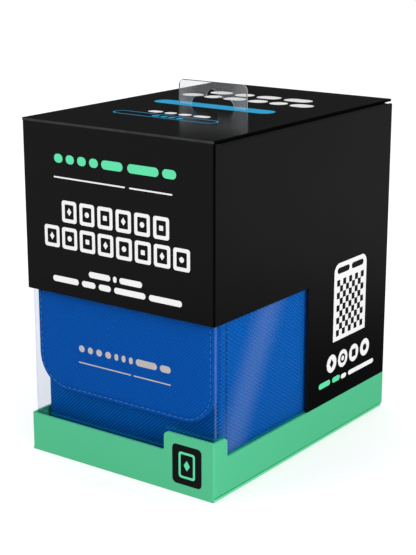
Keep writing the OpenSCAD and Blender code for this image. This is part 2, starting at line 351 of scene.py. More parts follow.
world = bpy.data.worlds.new("studio")
bpy.context.scene.world = world
world.use_nodes = True
world_tree = world.node_tree
shown, glossy = ray_kinds(world_tree)
unseen = add(world_tree, "Mix", {"Factor": glossy, "A": ROOM_LIGHT, "B": ROOM_GLOSS})
room_strength = calc(world_tree, "MAXIMUM", shown, unseen.outputs["Result"])
fill(world_tree, world_tree.nodes["Background"], {"Strength": room_strength, "Color": WHITE})
bpy.context.scene.view_settings.view_transform = "Standard"
print("room made")

# %% Studio: floor
FLOOR_SIZE = 6.0
FLOOR_DROP = 0.05 * MM
FLOOR_TONE = (0.62, 0.62, 0.62, 1.0)
FLOOR_DARK = (0.0, 0.0, 0.0, 1.0)
FLOOR_GLOW = 0.46
FLOOR_GLOSS = 0.17
GLOSS_NEAR, GLOSS_FAR = 0.1, 0.5
FLOOR_ROUGH, FLOOR_SPECULAR = 0.9, 0.1

bpy.ops.mesh.primitive_plane_add(size=FLOOR_SIZE, location=(0, 0, -FLOOR_DROP))
floor = bpy.context.object
floor.name = "floor"
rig.stage(floor)
floor_material, floor_tree, floor_shader = new_material("floor_paper")
shown, glossy = ray_kinds(floor_tree)
on_floor = add(floor_tree, "TexCoord").outputs["Object"]
away = add(floor_tree, "VectorMath", {0: on_floor}, operation="LENGTH").outputs["Value"]
mirrored = smooth_rise(floor_tree, away, GLOSS_NEAR, GLOSS_FAR, FLOOR_GLOSS)
glow = times(floor_tree, shown, FLOOR_GLOW)
glow = plus(floor_tree, glow, times(floor_tree, glossy, mirrored))
floor_look = {
    "Base Color": over(floor_tree, FLOOR_TONE, glossy, FLOOR_DARK),
    "Emission Strength": glow,
    "Emission Color": WHITE,
    "Roughness": FLOOR_ROUGH,
    "Specular IOR Level": FLOOR_SPECULAR,
}
fill(floor_tree, floor_shader, floor_look)
floor.data.materials.append(floor_material)
print("floor made")

# %% Studio: soft boxes
SOFT_BOXES = {
    # name: place in metres, size in metres, watts
    "key_right": ((1.1, -0.45, 0.35), (0.5, 0.9), 8.0),
    "fill_left": ((-0.75, -1.0, 0.9), (0.8, 0.8), 4.5),
    "top_back": ((-0.2, 0.5, 1.3), (0.9, 0.6), 1.0),
}
AIM = Vector((0, 0, 80)) * MM

for name, (place, size, watts) in SOFT_BOXES.items():
    data = bpy.data.lights.new(name, "AREA")
    data.shape = "RECTANGLE"
    data.size, data.size_y = size
    data.energy = watts
    lamp = new_object(name, data)
    lamp.location = place
    lamp.rotation_euler = (AIM - Vector(place)).to_track_quat("-Z", "Y").to_euler()
print(len(SOFT_BOXES), "soft boxes")

# %% [markdown]
# ## Shared effects
# The prints colour the cut edges and folds of the board apart from its faces,
# partly as painted shade and painted highlight. The face's own direction tells
# them apart, so one group turns the surface normal into masks: one for the rims
# of cut edges, one for upright folds, and one for faces that look along the
# carton's width. A second group gives the board its faint fibre. Both are groups
# because every board uses them.

# %% Effect: edges of a board
FLAT_FACE, ROUNDED_RANGE = 0.99, 0.12
UPRIGHT_BELOW = 0.35
SIDEWAYS_ABOVE = 0.7


def make_board_edges():
    masks = {"Rim": "value", "Fold": "value", "Sideways": "value"}
    tree, given, out = new_group("board_edges", {"Facing": "vector"}, masks)
    x, y, z = unsigned_parts(tree, given["Facing"])
    flat = calc(tree, "MAXIMUM", calc(tree, "MAXIMUM", x, y), z)
    rounded = calc(tree, "DIVIDE", minus(tree, FLAT_FACE, flat), ROUNDED_RANGE, clamp=True)
    fold = times(tree, rounded, less(tree, z, UPRIGHT_BELOW))
    tree.links.new(fold, out["Fold"])
    tree.links.new(minus(tree, rounded, fold), out["Rim"])
    tree.links.new(more(tree, x, SIDEWAYS_ABOVE), out["Sideways"])
    return tree


board_edges = make_board_edges()
print(board_edges.name)

# %% Effect: paper fibre under the print
FIBRE_SCALE, FIBRE_DETAIL = 1500.0, 5.0
CLOUD_SCALE, CLOUD_DETAIL = 35.0, 2.0


def make_board_fibre():
    asked = {"Point": "vector", "Strength": "value"}
    tree, given, out = new_group("board_fibre", asked, {"Height": "value", "Tone": "value"})
    tree.links.new(noise(tree, given["Point"], FIBRE_SCALE, FIBRE_DETAIL), out["Height"])
    cloud = minus(tree, noise(tree, given["Point"], CLOUD_SCALE, CLOUD_DETAIL), 0.5)
    tree.links.new(times(tree, cloud, given["Strength"]), out["Tone"])
    return tree


def fibre_colour(tree, strength, low, high):
    """A colour that drifts between two with the fibre, and the fibre's height."""
    point = add(tree, "TexCoord").outputs["Object"]
    fibre = use_group(tree, board_fibre, {"Point": point, "Strength": strength})
    return over(tree, low, plus(tree, fibre["Tone"], 0.5), high), fibre["Height"]


board_fibre = make_board_fibre()
print(board_fibre.name)

# %% [markdown]
# ## Printed board
# The carton's panels are CAD nodes with the right shape, so they stay. Each
# gets a tiny bevel and a print. The print is a function that lays inks over
# each other: black board with painted shade on its folds and cut edges, green
# board with a paler cut edge, a painted highlight on its rims and a painted
# shade line along its bottom fold, and side panels that change from black to
# green at the level of the band.

# %% Inks
BLACK_INK = linear(12, 12, 13)
# The darker black is painted shade along folds, rounded rims and cut ends, where shadow lines fall.
BLACK_EDGE_SHADE = linear(3, 3, 4)
GREEN_INK = linear(82, 191, 141)
# Paler green for the real cut edges, and on the rims a painted highlight.
GREEN_CUT_EDGE_AND_HIGHLIGHT = linear(112, 220, 167)
# Darker green line along the bottom fold: painted shade of the gap there.
GREEN_FOLD_SHADE = linear(52, 158, 104)
# The band ends 18.5 mm up. The ink changes just above it, so the cut edge of the band is green.
BAND_TOP = 18.6 * MM
CORNER_TOP = 40 * MM
CORNER_BACK = -40 * MM
BOTTOM_FOLD = (1.5 * MM, 2.05 * MM)


def black_print(tree, point, edges):
    # Folds, rims and the cut ends that face sideways get the darker black as painted shade.
    fold_and_edge_shade = calc(tree, "MAXIMUM", plus(tree, edges["Rim"], edges["Fold"]), edges["Sideways"])
    return over(tree, BLACK_INK, fold_and_edge_shade, BLACK_EDGE_SHADE)


def green_print(tree, point, edges):
    """Green board with pale cut edges and a painted highlight on its rims, and a painted shade line along the bottom
    fold of each side.
    """
    height = parts(tree, point)[2]
    pale = times(tree, edges["Sideways"], less(tree, height, BOTTOM_FOLD[0]))
    # The line along the bottom fold is painted shade, and the paler rims are a painted highlight.
    fold = times(tree, between(tree, height, *BOTTOM_FOLD), edges["Sideways"])
    green = over(tree, GREEN_INK, calc(tree, "MAXIMUM", edges["Rim"], pale), GREEN_CUT_EDGE_AND_HIGHLIGHT)
    return over(tree, green, fold, GREEN_FOLD_SHADE)


def two_tone_print(tree, point, edges):
    """Black above the band and green below, also in the raised corner behind the front."""
    _, depth, height = parts(tree, point)
    corner = times(tree, less(tree, height, CORNER_TOP), less(tree, depth, CORNER_BACK))
    below = calc(tree, "MAXIMUM", less(tree, height, BAND_TOP), corner)
    # Above the band, rims and folds get the darker black as painted shade.
    black = over(tree, BLACK_INK, plus(tree, edges["Rim"], edges["Fold"]), BLACK_EDGE_SHADE)
    return over(tree, black, below, green_print(tree, point, edges))


print("three prints")

# %% Crease of the lid
CREASE_WIDTH = 0.8 * MM
# The pale crease colour is a painted highlight of the rounded crease, partly cracked ink. CREASE_SHADE is a painted
# shade line behind it.
CREASE_PALE = linear(58, 58, 60)
CREASE_FRONT = -74.6 * MM
CREASE_TOP = 159.85 * MM
CREASE_SHADE = (-74.5 * MM, -73.4 * MM)
WEAR_SCALE, WEAR_DETAIL = 420.0, 3.0
WEAR_LEAST = 0.3


def lid_print(tree, point, edges):
    """Black board with a pale band along the front crease, a painted highlight that is partly cracked ink, a painted
    shade line behind it and painted shade on its sideways cut edges.
    """
    _, depth, height = parts(tree, point)
    worn = calc(tree, "ADD", noise(tree, point, WEAR_SCALE, WEAR_DETAIL), WEAR_LEAST, clamp=True)
    pale = over(tree, BLACK_INK, worn, CREASE_PALE)
    # The pale crease band is a painted highlight, partly cracked ink.
    crease_highlight_and_cracks = times(tree, less(tree, depth, CREASE_FRONT), less(tree, height, CREASE_TOP))
    colour = over(tree, BLACK_INK, between(tree, depth, *CREASE_SHADE), BLACK_EDGE_SHADE)
    colour = over(tree, colour, crease_highlight_and_cracks, pale)
    # The lid's sideways cut edges are painted dark as the shade of the gap beside them.
    return over(tree, colour, edges["Sideways"], BLACK_EDGE_SHADE)


print("lid print")

# %% Board materials
BOARD_ROUGH = 0.3
LID_ROUGH = 0.16
ROUGH_DRIFT = 0.12
BOARD_SPECULAR = 0.5
BOARD_RELIEF, FIBRE_DEPTH = 0.1, 0.04 * MM
BOARD_BEVEL = 0.12 * MM
BLACK_BEVEL = 0.04 * MM
SHARP_ANGLE = math.radians(40)


def board_material(name, paint, rough=BOARD_ROUGH):
    """Coated board. paint(tree, point, edges) gives the socket of its colour."""
    material, tree, shader = new_material(name)
    coords = add(tree, "TexCoord").outputs
    edges = use_group(tree, board_edges, {"Facing": coords["Normal"]})
    fibre = use_group(tree, board_fibre, {"Point": coords["Object"], "Strength": ROUGH_DRIFT})
    look = {
        "Base Color": paint(tree, coords["Object"], edges),
        "Roughness": plus(tree, fibre["Tone"], rough),
        "Specular IOR Level": BOARD_SPECULAR,
    }
    fill(tree, shader, look)
    emboss(tree, shader, fibre["Height"], BOARD_RELIEF, FIBRE_DEPTH)
    return material


def put_material(piece, material):
    piece.data.materials.clear()
    piece.data.materials.append(material)


def round_edges(piece, width, segments=3):
    bevel = piece.modifiers.new("rounded_edges", "BEVEL")
    bevel.width = width
    bevel.segments = segments
    bevel.limit_method = "ANGLE"
    bevel.angle_limit = SHARP_ANGLE
    for face in piece.data.polygons:
        face.use_smooth = True
    bevel.harden_normals = True


print("board materials ready")

# %% Finish the carton's panels
PANELS = {
    "board_black": (
        black_print,
        "carton_front_top carton_glue_flap lid_tuck_flap lid_dust_flap_right lid_dust_flap_left",
    ),
    "board_green": (
        green_print,
        "carton_front_band carton_bottom_panel bottom_tuck_flap bottom_dust_flap_right"
        " bottom_dust_flap_left",
    ),
    "board_two_tone": (two_tone_print, "carton_right_panel carton_left_panel carton_back_panel"),
}
LID_EDGE_FRONT, LID_EDGE_TOP = -74.9 * MM, 159.9 * MM
CREASE_SEGMENTS = 5

for name, (paint, panels) in PANELS.items():
    finish = board_material(name, paint)
    for panel in panels.split():
        put_material(nodes[panel], finish)
        round_edges(nodes[panel], BLACK_BEVEL if paint is black_print else BOARD_BEVEL)
    print(name, len(panels.split()), "panels")

lid = nodes["carton_lid"]
put_material(lid, board_material("board_lid", lid_print, LID_ROUGH))
front_edge = [
    v.index for v in lid.data.vertices if v.co.y < LID_EDGE_FRONT and v.co.z > LID_EDGE_TOP
]
lid.vertex_groups.new(name="front_crease").add(front_edge, 1.0, "REPLACE")
front_bevel = lid.modifiers.new("front_crease", "BEVEL")
front_bevel.width = CREASE_WIDTH
front_bevel.segments = CREASE_SEGMENTS
front_bevel.limit_method = "VGROUP"
front_bevel.vertex_group = "front_crease"
round_edges(lid, BLACK_BEVEL)
print("lid crease on", len(front_edge), "points")

# %% [markdown]
# ## Clear film and hang tab
# Clear sheet is a mix of a Transparent shader and a pale glossy one, and the
# share of the second decides what shows. It grows steeply towards grazing
# angles. Painted marks add to the share: a painted reflection streak across the
# side window, a painted highlight along its bend and a painted reflection of
# the band just above its rim.

# %% Clear sheet
PLASTIC_IOR = 1.45
GRAZING_POWER = 3.0


def clear_material(name, through_tint, sheen, rough, gain, marks):
    """Clear plastic. marks(tree, point, facing, sheen) gives the glossy share and its colour."""
    material, tree, shader = new_material(name)
    coords = add(tree, "TexCoord").outputs
    share, colour = marks(tree, coords["Object"], coords["Normal"], sheen)
    fill(tree, shader, {"Base Color": colour, "Roughness": rough})
    through = add(tree, "BsdfTransparent", {"Color": through_tint})
    inside = add(tree, "NewGeometry").outputs["Backfacing"]
    bend = add(tree, "Mix", {"Factor": inside, "A": PLASTIC_IOR, "B": 1 / PLASTIC_IOR})
    mirror = add(tree, "Fresnel", {"IOR": bend.outputs["Result"]}).outputs["Fac"]
    steep = times(tree, calc(tree, "POWER", mirror, GRAZING_POWER), gain)
    share = calc(tree, "ADD", steep, share, clamp=True)
    layers = {"Fac": share, 1: through.outputs["BSDF"], 2: shader.outputs["BSDF"]}
    sheet = add(tree, "MixShader", layers).outputs["Shader"]
    tree.links.new(sheet, tree.nodes["Material Output"].inputs["Surface"])
    return material


def soft_line(tree, distance, half):
    """1 on a line, falling smoothly to 0 at its half width."""
    off = calc(tree, "DIVIDE", calc(tree, "ABSOLUTE", distance), half)
    return smooth_rise(tree, off, 1.0, 0.0)


print("clear sheet ready")

# %% Window film
FILM_TINT = (0.925, 0.935, 0.955, 1)
FILM_SHEEN = (0.46, 0.64, 1.0, 1)
FILM_ROUGH, FILM_GAIN = 0.25, 6.0
# The streak on the side window is a painted reflection of a soft box.
STREAK_AT = Vector((0, -36.0, 68.8)) * MM
STREAK_ACROSS = (0.886, -0.463)
STREAK_HALF = 16.0 * MM
STREAK_SHARE = 0.052
STREAK_FROM = 51.5 * MM
# The line along the film's bend is a painted highlight.
BEND_AT, BEND_HALF = -71.9 * MM, 0.8 * MM
BEND_SHARE = 0.08
BEND_FROM = 50.5 * MM
# Just above the band's rim, a painted reflection of the band in the film.
RIM_REFLECTION_BAND = (0.0, 1.1 * MM)
RIM_SHARE = 0.2
RIM_FRONT = -73 * MM
RIM_FRONT_LIFT = 0.8 * MM
RIM_FRONT_SHARE = 0.07
RIM_REFLECTION_COLOUR = linear(0, 160, 165)
CORNER_RISE = 9.2 * MM
CORNER_FROM, CORNER_BEFORE = 26 * MM, -65 * MM


def film_marks(tree, point, facing, sheen):
    """A painted reflection streak and a painted highlight along the bend on the right, and a painted reflection of the
    band along its rim.
    """
    x, y, z = parts(tree, point)
    along_y = times(tree, minus(tree, y, STREAK_AT.y), STREAK_ACROSS[0])
    along_z = times(tree, minus(tree, z, STREAK_AT.z), STREAK_ACROSS[1])
    streak = soft_line(tree, plus(tree, along_y, along_z), STREAK_HALF)
    streak = times(tree, streak, more(tree, x, STREAK_FROM), STREAK_SHARE)
    bend = soft_line(tree, minus(tree, y, BEND_AT), BEND_HALF)
    bend = times(tree, bend, more(tree, x, BEND_FROM), BEND_SHARE)
    raised = times(tree, more(tree, x, CORNER_FROM), less(tree, y, CORNER_BEFORE))
    in_front = less(tree, y, RIM_FRONT)
    rim = plus(tree, times(tree, raised, CORNER_RISE), BAND_TOP)
    rim = plus(tree, times(tree, in_front, RIM_FRONT_LIFT), rim)
    glow = between(tree, minus(tree, z, rim), *RIM_REFLECTION_BAND)
    fainter = times(tree, in_front, RIM_FRONT_SHARE - RIM_SHARE)
    glow_share = times(tree, glow, plus(tree, fainter, RIM_SHARE))
    share = plus(tree, plus(tree, streak, bend), glow_share)
    return share, over(tree, sheen, glow, RIM_REFLECTION_COLOUR)


film_clear = clear_material(
    "window_film_clear", FILM_TINT, FILM_SHEEN, FILM_ROUGH, FILM_GAIN, film_marks
)
put_material(nodes["window_film"], film_clear)
for face in nodes["window_film"].data.polygons:
    face.use_smooth = False
print("film on the window")

# %% Hang tab
TAB_TINT = (0.93, 0.935, 0.945, 1)
TAB_SHEEN = (0.95, 0.96, 0.97, 1)
TAB_ROUGH, TAB_GAIN = 0.12, 5.0
TAB_SHARE = 0.062
TAB_EDGE = (0.5, 0.51, 0.53, 1)
TAB_EDGE_SHARE = 0.7
TAB_EDGE_BELOW = 0.6
TAB_LINE = (0.14, 0.145, 0.15, 1)
TAB_LINE_SHARE = 0.75
TAB_LINE_WIDTH = 0.35 * MM
TAB_FOLD, TAB_TOP = 160.35 * MM, 171.9 * MM
TAB_MIDDLE, TAB_HALF = -1.6 * MM, 19.75 * MM
TAB_MILKY_FROM, TAB_MILKY_SHARE = 8 * MM, 0.07
TAB_BEVEL = 0.12 * MM


def tab_marks(tree, point, facing, sheen):
    """Milky towards the sides, with a thin grey outline and cut edges that gather light."""
    x, _, z = parts(tree, point)
    _, forward, _ = unsigned_parts(tree, facing)
    upright_part = more(tree, z, TAB_FOLD)
    cut = times(tree, less(tree, forward, TAB_EDGE_BELOW), upright_part)
    away = calc(tree, "ABSOLUTE", minus(tree, x, TAB_MIDDLE))
    milky = smooth_rise(tree, away, TAB_MILKY_FROM, TAB_HALF)
    at_side = more(tree, away, TAB_HALF - TAB_LINE_WIDTH)
    at_rim = calc(tree, "MAXIMUM", at_side, more(tree, z, TAB_TOP - TAB_LINE_WIDTH))
    line = times(tree, at_rim, upright_part, minus(tree, 1.0, cut))
    share = plus(tree, times(tree, milky, TAB_MILKY_SHARE), TAB_SHARE)
    share = plus(tree, share, times(tree, cut, TAB_EDGE_SHARE))
    share = plus(tree, share, times(tree, line, TAB_LINE_SHARE))
    return share, over(tree, over(tree, sheen, cut, TAB_EDGE), line, TAB_LINE)


tab_clear = clear_material("hang_tab_clear", TAB_TINT, TAB_SHEEN, TAB_ROUGH, TAB_GAIN, tab_marks)
for name in ("hang_tab", "hang_tab_foot", "hang_tab_adhesive"):
    put_material(nodes[name], tab_clear)
round_edges(nodes["hang_tab"], TAB_BEVEL, 2)
print("clear hang tab")

# %% [markdown]
# ## Leatherette
# The case is covered with a cross-grained leatherette. Two families of slanted
# ribs press a net of small lozenges into it. An embossing roller makes both, so
# they are straight and even. One family stands out more than the other, by a
# share that differs between front and side faces as painted shade of the way
# the light falls. The colour runs from a deep tone in the grooves to a light one
# on the ribs, which is painted shade and highlight. The group picks its
# coordinates by the way the face points, so the net lies flat.

# %% Effect: cross grain
FACES_IT = 0.7
WANDER_SCALE, WANDER_DETAIL = 120.0, 2.0
WANDER = 0.15
RIB_POWER = 0.8


def make_cross_grain():
    asked = {name: "vector" for name in ("Point", "Facing", "Front Pitch", "Side Pitch")}
    tree, given, out = new_group("cross_grain", asked, {"Height": "value"})
    x, y, z = parts(tree, given["Point"])
    face_x, _, face_z = unsigned_parts(tree, given["Facing"])
    faces_up = more(tree, face_z, FACES_IT)
    faces_side = more(tree, face_x, FACES_IT)

    def choose(mask, yes, no):
        gap = minus(tree, yes, no)
        return plus(tree, no, times(tree, mask, gap))

    front, side = parts(tree, given["Front Pitch"]), parts(tree, given["Side Pitch"])
    pitches = [choose(faces_side, side[i], front[i]) for i in range(3)]
    level_pitch, upright_pitch, rising_share = pitches
    level_turns = calc(tree, "DIVIDE", choose(faces_side, y, x), level_pitch)
    upright_turns = calc(tree, "DIVIDE", choose(faces_up, y, z), upright_pitch)
    wander = minus(tree, noise(tree, given["Point"], WANDER_SCALE, WANDER_DETAIL), 0.5)
    drift = times(tree, wander, WANDER)

    def ribs(lean):
        turns = plus(tree, upright_turns, times(tree, level_turns, lean))
        angle = times(tree, plus(tree, turns, drift), math.pi)
        wave = calc(tree, "ABSOLUTE", calc(tree, "SINE", angle))
        return calc(tree, "POWER", wave, RIB_POWER)

    rising = times(tree, ribs(-1.0), rising_share)
    falling = times(tree, ribs(1.0), minus(tree, 1.0, rising_share))
    tree.links.new(plus(tree, rising, falling), out["Height"])
    return tree


cross_grain = make_cross_grain()
print(cross_grain.name)

# %% Leatherette
# Groove and rib tones of the flap and lid. The change between them with the rib height is painted shade and highlight.
BLUE_DEEP = linear(0, 67, 145)
BLUE_LIGHT = linear(4, 92, 181)
# The body's copy of the leatherette has a darker groove tone and a brighter rib tone than the flap's: more painted
# shade and highlight on the same material.
BODY_DEEP = linear(0, 30, 92)
BODY_LIGHT = linear(4, 109, 200)
# level pitch, upright pitch, share of the rising ribs; the share differs between front and side as painted shade of
# the way the light falls
FRONT_PITCH = (1.92 * MM, 1.72 * MM, 0.8)
SIDE_PITCH = (2.98 * MM, 1.91 * MM, 0.62)
COVER_RELIEF, BODY_RELIEF = 0.35, 0.5
GRAIN_DEPTH = 0.16 * MM
LEATHER_ROUGH, RIB_GLOSS = 0.6, 0.15
LEATHER_SPECULAR = 0.05


def leatherette_material(name, deep, light, relief):
    material, tree, shader = new_material(name)
    coords = add(tree, "TexCoord").outputs
    asked = {"Point": coords["Object"], "Facing": coords["Normal"]}
    asked |= {"Front Pitch": FRONT_PITCH, "Side Pitch": SIDE_PITCH}
    height = use_group(tree, cross_grain, asked)["Height"]
    look = {
        # Deep in the grooves and light on the ribs: painted shade and highlight of the grain.
        "Base Color": over(tree, deep, height, light),
        "Roughness": minus(tree, LEATHER_ROUGH, times(tree, height, RIB_GLOSS)),
        "Specular IOR Level": LEATHER_SPECULAR,
    }
    fill(tree, shader, look)
    emboss(tree, shader, height, relief, GRAIN_DEPTH)
    return material


leatherette = leatherette_material("blue_leatherette", BLUE_DEEP, BLUE_LIGHT, COVER_RELIEF)
# A second, more shaded and more lit copy of the same leatherette, for the body.
body_leatherette_painted_shade = leatherette_material("body_leatherette_painted_shade", BODY_DEEP, BODY_LIGHT, BODY_RELIEF)
print("two leatherettes")

# %% Thread, lining and raw board
WEAVE_DETAIL, WEAVE_RELIEF = 6.0, 0.5
WEAVE_LOW, WEAVE_HIGH = 0.7, 1.25
THREAD_FINISH = (0.6, 4000.0, 0.05 * MM)


def plain_weave_material(name, colour, rough, scale, depth):
    """A finish with one fine noise: sewing thread, lining pile or raw board."""
    material, tree, shader = new_material(name)
    point = add(tree, "TexCoord").outputs["Object"]
    fine = noise(tree, point, scale, WEAVE_DETAIL)
    base = over(tree, shade(colour, WEAVE_LOW), fine, shade(colour, WEAVE_HIGH))
    fill(tree, shader, {"Base Color": base, "Roughness": rough})
    emboss(tree, shader, fine, WEAVE_RELIEF, depth)
    return material


pale_thread = plain_weave_material("pale_thread", linear(58, 128, 208), *THREAD_FINISH)
# The body's thread is a darker copy of the same thread: painted shade of the seam grooves it lies in.
shaded_thread = plain_weave_material("shaded_thread", linear(4, 46, 104), *THREAD_FINISH)
lining_pile = plain_weave_material("lining_pile", linear(52, 56, 64), 0.95, 2500.0, 0.2 * MM)
raw_board = plain_weave_material("raw_greyboard", linear(140, 133, 122), 0.9, 900.0, 0.1 * MM)
magnet_plate, magnet_tree, magnet_shader = new_material("magnet_plating")
magnet_look = {"Base Color": linear(184, 188, 194), "Metallic": 1.0, "Roughness": 0.3}
fill(magnet_tree, magnet_shader, magnet_look)
INNER_FINISHES = {"_board": raw_board, "_lining": lining_pile, "_magnets": magnet_plate}
for name in nodes:
    for ending, finish in INNER_FINISHES.items():
        if name.endswith(ending):
            put_material(nodes[name], finish)
print("thread, lining and board")

# %% [markdown]
# ## Mesh builders
# Every sewn or printed shape is built as points and faces. Most are rings of
# points, each joined to the next, with the two ends filled.


# %% Mesh builders
def add_rings(shape, rings):
    made = [[shape.verts.new(p) for p in ring] for ring in rings]
    count = len(rings[0])
    for one, two in zip(made, made[1:]):
        for i in range(count):
            j = (i + 1) % count
            shape.faces.new((one[i], one[j], two[j], two[i]))
    shape.faces.new(made[0][::-1])
    shape.faces.new(made[-1])


def mesh_piece(name, shape, solid):
    """A piece from a bmesh. A solid one is smooth, and its faces look outwards."""
    if solid:
        bmesh.ops.recalc_face_normals(shape, faces=shape.faces)
    mesh = bpy.data.meshes.new(name)
    shape.to_mesh(mesh)
    shape.free()
    for face in mesh.polygons:
        face.use_smooth = solid
    return new_object(name, mesh)


def ring_mesh(name, rings):
    shape = bmesh.new()
    add_rings(shape, rings)
    return mesh_piece(name, shape, solid=True)


print("mesh builders ready")

# %% [markdown]
# ## Covered panels
# A leatherette panel is a board wrapped in a padded skin. Its edge is a soft
# roll, a sewn groove runs a little way in from the edge, and the middle swells
# slightly between the seams. One function builds this as rings of points that
# step in from the outline, and the flap and the case's lid both use it.

# %% Outline of a panel
ARC_STEPS = 10
LEAST_RADIUS = 0.02 * MM


def rounded_outline(low, high, radii, inset):
    """Points round a rectangle with its own radius at each corner, stepped in by inset."""
    corners = [
        ((low[0], low[1]), math.pi, radii[0]),
        ((high[0], low[1]), 1.5 * math.pi, radii[1]),
        ((high[0], high[1]), 0.0, radii[2]),
        ((low[0], high[1]), 0.5 * math.pi, radii[3]),
    ]
    points = []
    for (cx, cy), start, radius in corners:
        inward_x = 1 if cx == low[0] else -1
        inward_y = 1 if cy == low[1] else -1
        middle = (cx + inward_x * radius, cy + inward_y * radius)
        left = max(radius - inset, LEAST_RADIUS)
        shift = max(inset - radius, 0.0)
        for step in range(ARC_STEPS + 1):
            angle = start + 0.5 * math.pi * step / ARC_STEPS
            x = middle[0] + inward_x * shift + left * math.cos(angle)
            y = middle[1] + inward_y * shift + left * math.sin(angle)
            points.append((x, y))
    return points


print("panel outline ready")

# %% Covered panel builder
EDGE_ROLL = 1.0 * MM
ROLL_STEPS = 6
ROLL_DROP = 0.02 * MM
SEAM_INSET = 1.8 * MM
SEAM_HALF = 0.55 * MM
SEAM_DEPTH = 0.32 * MM
SEAM_STEPS = 3
SWELL = 0.18 * MM
# inset and height above the back edge of each ring there, in millimetres
BACK_RINGS = ((0.9, 0.0), (0.25, 0.25), (0.0, 0.9))
# distance in from the seam in millimetres, and share of the swell
SWELL_RINGS = ((1.6, 0.55), (3.2, 0.9), (6, 1), (9, 1))


def skin_profile(thickness):
    """(inset, depth below the face) of each ring, from the back edge to the face's middle."""
    rings = [(inset * MM, thickness - height * MM) for inset, height in BACK_RINGS]
    for step in range(ROLL_STEPS + 1):
        angle = 0.5 * math.pi * step / ROLL_STEPS
        drop = EDGE_ROLL * (1 - math.sin(angle)) + ROLL_DROP
        rings.append((EDGE_ROLL * (1 - math.cos(angle)), drop))
    for step in range(-SEAM_STEPS, SEAM_STEPS + 1):
        share = step / SEAM_STEPS
        dip = SEAM_DEPTH * math.cos(0.5 * math.pi * share)
        rings.append((SEAM_INSET + SEAM_HALF * share, dip))
    rings += [(SEAM_INSET + inset * MM, -SWELL * share) for inset, share in SWELL_RINGS]
    return rings


def covered_panel(name, low, high, radii, thickness, place):
    """A wrapped board. place turns (a, b, depth) into a point of the scene."""
    rings = []
    for inset, depth in skin_profile(thickness):
        outline = rounded_outline(low, high, radii, inset)
        rings.append([place(a, b, depth) for a, b in outline])
    return ring_mesh(name, rings)


print("covered panel builder ready")

# %% [markdown]
# ## Stitches
# Each stitch is a short rounded bar of thread that dips into the leatherette at
# both ends. They are laid along a path at an even pitch.

# %% Stitch builder
STITCH_PITCH = 3.1 * MM
STITCH_LENGTH = 2.3 * MM
STITCH_RADIUS = 0.2 * MM
STITCH_SIDES = 6
STITCH_SINK = 1.5
# place along the stitch and thickness of each ring, as shares
STITCH_RINGS = ((-0.5, 0.25), (-0.38, 0.8), (-0.15, 1.0), (0.15, 1.0), (0.38, 0.8), (0.5, 0.25))
THREAD_LIFT = -0.12 * MM


def stitch_places(path):
    """Centre and direction of each stitch along a list of points."""
    legs = [(Vector(a), Vector(b)) for a, b in zip(path, path[1:])]
    legs = [(a, b) for a, b in legs if (b - a).length > 0]
    total = sum((b - a).length for a, b in legs)
    count = max(int(total / STITCH_PITCH), 1)
    pitch = total / count
    places = []
    for i in range(count):
        left = (i + 0.5) * pitch
        for a, b in legs:
            length = (b - a).length
            if left <= length:
                places.append((a + (b - a) * (left / length), (b - a).normalized()))
                break
            left -= length
    return places


def stitch_rings(centre, along, out):
    side = along.cross(out).normalized()
    rings = []
    for share, size in STITCH_RINGS:
        sink = STITCH_RADIUS * STITCH_SINK * (abs(share) * 2) ** 3
        middle = centre + along * share * STITCH_LENGTH + out * (THREAD_LIFT - sink)
        turns = [2 * math.pi * k / STITCH_SIDES for k in range(STITCH_SIDES)]
        offsets = [side * math.cos(t) + out * math.sin(t) for t in turns]
        rings.append([middle + offset * STITCH_RADIUS * size for offset in offsets])
    return rings


def stitches(name, paths, outward, thread):
    """All stitches of some paths as one mesh. outward is the way the leatherette faces."""
    shape = bmesh.new()
    count = 0
    for path, way in zip(paths, outward):
        for centre, along in stitch_places(path):
            add_rings(shape, stitch_rings(centre, along, Vector(way)))
            count += 1
    piece = mesh_piece(name, shape, solid=True)
    put_material(piece, thread)
    print(name, count, "stitches")
    return piece


print("stitch builder ready")

# %% [markdown]
# ## Case flap
# The flap folds down from the case's lid over its front. Its lower corners are
# large rounds, and a seam follows its edge.

# %% Flap
flap_low, flap_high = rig.box("flap_cover")
FLAP_CORNER = 16.5 * MM
FLAP_TOP_CORNER = 0.6 * MM
FLAP_THICK = flap_high.y - flap_low.y
CORNER_POINTS = ARC_STEPS + 1


def on_flap(a, b, depth):
    return Vector((a, flap_low.y + depth, b))


flap_sides = (flap_low.x, flap_low.z), (flap_high.x, flap_high.z)
flap_corners = (FLAP_CORNER, FLAP_CORNER, FLAP_TOP_CORNER, FLAP_TOP_CORNER)
flap = covered_panel("flap_skin", *flap_sides, flap_corners, FLAP_THICK, on_flap)
put_material(flap, leatherette)
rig.ride(flap, "case_flap")
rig.replaces(flap, "flap_cover", "flap_lining")
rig.slot(flap, "leatherette")

seam = rounded_outline(*flap_sides, (FLAP_CORNER, FLAP_CORNER, 0.0, 0.0), SEAM_INSET)
seam_points = [seam[-1]] + seam[: 2 * CORNER_POINTS] + [seam[2 * CORNER_POINTS]]
flap_path = [on_flap(a, b, 0) for a, b in seam_points]
flap_thread = stitches("flap_thread", [flap_path], [(0, -1, 0)], pale_thread)
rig.ride(flap_thread, "case_flap")
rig.replaces(flap_thread, "flap_stitching")
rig.slot(flap_thread, "thread")

# %% [markdown]
# ## Case body
# The body's leatherette wraps round its upright corners. A sewn groove runs
# down each side a little behind the front. The wall's outline in plan has these
# grooves in it, and it is drawn straight up.

# %% Outline of the body
body_low, body_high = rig.box("case_cover")
BODY_CORNER = 2.5 * MM
BODY_INNER_CORNER = 0.5 * MM
SIDE_SEAM = 4.5 * MM
# place along the wall and depth, in millimetres
GROOVE = ((-0.55, 0.0), (-0.3, 0.28), (0.0, 0.45), (0.3, 0.28), (0.55, 0.0))
side_at = body_low.y + SIDE_SEAM


